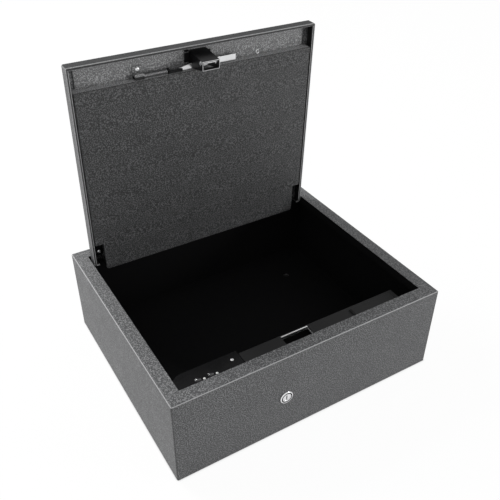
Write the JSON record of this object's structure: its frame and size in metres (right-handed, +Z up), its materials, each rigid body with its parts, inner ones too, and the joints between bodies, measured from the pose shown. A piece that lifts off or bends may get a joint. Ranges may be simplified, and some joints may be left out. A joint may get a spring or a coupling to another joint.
{
  "type": "biometric drawer safe",
  "caption": "Low steel drawer safe with a hinged lid, fingerprint reader, key override, sliding latch and a battery-powered control panel inside.",
  "frame": {"origin": "centre of the box's underside", "axes": "+X to the right, +Y to the hinges, +Z up, with the key lock facing -Y"},
  "size_m": [0.35, 0.296, 0.3661],
  "materials": {
    "sandtex": "textured powder coat",
    "panel_paint": "textured powder coat, darker",
    "black_steel": "satin black",
    "black_plastic": "fine matt texture",
    "gloss_black": "gloss",
    "button_black": "gloss dome",
    "lamp_white": "milky lens",
    "zinc": "bright zinc plate",
    "steel": "plain steel",
    "chrome": "polished",
    "circuit_green": "solder mask",
    "cell_wrap": "plain wrap",
    "sensor_glass": "dark polished window"
  },
  "bodies": {
    "box": {"box_shell": "sandtex", "lock_cover": "black_plastic", "catch_plate": "zinc", "control_panel": "gloss_black", "control_board": "circuit_green", "status_lamps": "lamp_white", "battery_tray": "black_plastic", "battery_cells": "cell_wrap", "latch_frame": "steel", "guide_pins": "steel", "gearmotor": "steel", "lock_housing": "chrome", "lock_nut": "zinc", "hinge_box_leaves": "black_steel"},
    "lid": {"lid_shell": "sandtex", "lid_inner_panel": "panel_paint", "latch_mounting_plate": "sandtex", "strike_bracket": "black_steel", "strike_pin": "zinc", "spring_anchor": "black_steel", "bar_spring": "zinc", "lid_screws": "zinc", "hinge_lid_leaves": "black_steel", "hinge_pins": "steel", "hinge_rivets": "zinc", "reader_bezel": "black_plastic", "reader_window": "sensor_glass", "reader_board": "circuit_green"},
    "keeper": {"keeper_bar": "zinc", "spring_link": "zinc"},
    "battery_cover": {"battery_door": "black_plastic"},
    "left_button": {"button_left": "button_black"},
    "right_button": {"button_right": "button_black"},
    "latch": {"latch_slide": "zinc", "latch_bolt": "zinc"},
    "key_core": {"key_plug": "chrome", "key_cam": "zinc", "cam_screw": "zinc"},
    "crank": {"motor_crank": "steel"}
  },
  "joints": [
    {"name": "lid_hinge", "type": "hinge", "parent": "box", "child": "lid", "pos_m": [0, 0.126, 0.111], "axis": [1, 0, 0], "range_deg": [0, 87.6]},
    {"name": "keeper_slide", "type": "slide", "parent": "lid", "child": "keeper", "axis": [1, 0, 0], "range_m": [0, 0.006], "stiffness_N_per_m": 300, "springref_m": -0.006, "deforming": ["bar_spring"]},
    {"name": "battery_cover_slide", "type": "slide", "parent": "box", "child": "battery_cover", "axis": [0, 1, 0], "range_m": [0, 0.036]},
    {"name": "left_button_press", "type": "slide", "parent": "box", "child": "left_button", "axis": [0, 0, -1], "range_m": [0, 0.0008], "stiffness_N_per_m": 400, "springref_m": -0.001},
    {"name": "right_button_press", "type": "slide", "parent": "box", "child": "right_button", "axis": [0, 0, -1], "range_m": [0, 0.0008], "stiffness_N_per_m": 400, "springref_m": -0.001},
    {"name": "latch_slide_move", "type": "slide", "parent": "box", "child": "latch", "axis": [-1, 0, 0], "range_m": [0, 0.012]},
    {"name": "key_turn", "type": "hinge", "parent": "box", "child": "key_core", "pos_m": [-0.0396, -0.147, 0.0535], "axis": [0, -1, 0], "range_deg": [0, 90]},
    {"name": "crank_turn", "type": "hinge", "parent": "box", "child": "crank", "pos_m": [0.02, -0.1264, 0.0535], "axis": [0, -1, 0], "range_deg": [0, 90]}
  ],
  "couplings": [
    {"joint": "key_turn", "follows": "latch_slide_move", "rad_per_m": 130.9},
    {"joint": "crank_turn", "follows": "latch_slide_move", "rad_per_m": 130.9}
  ]
}
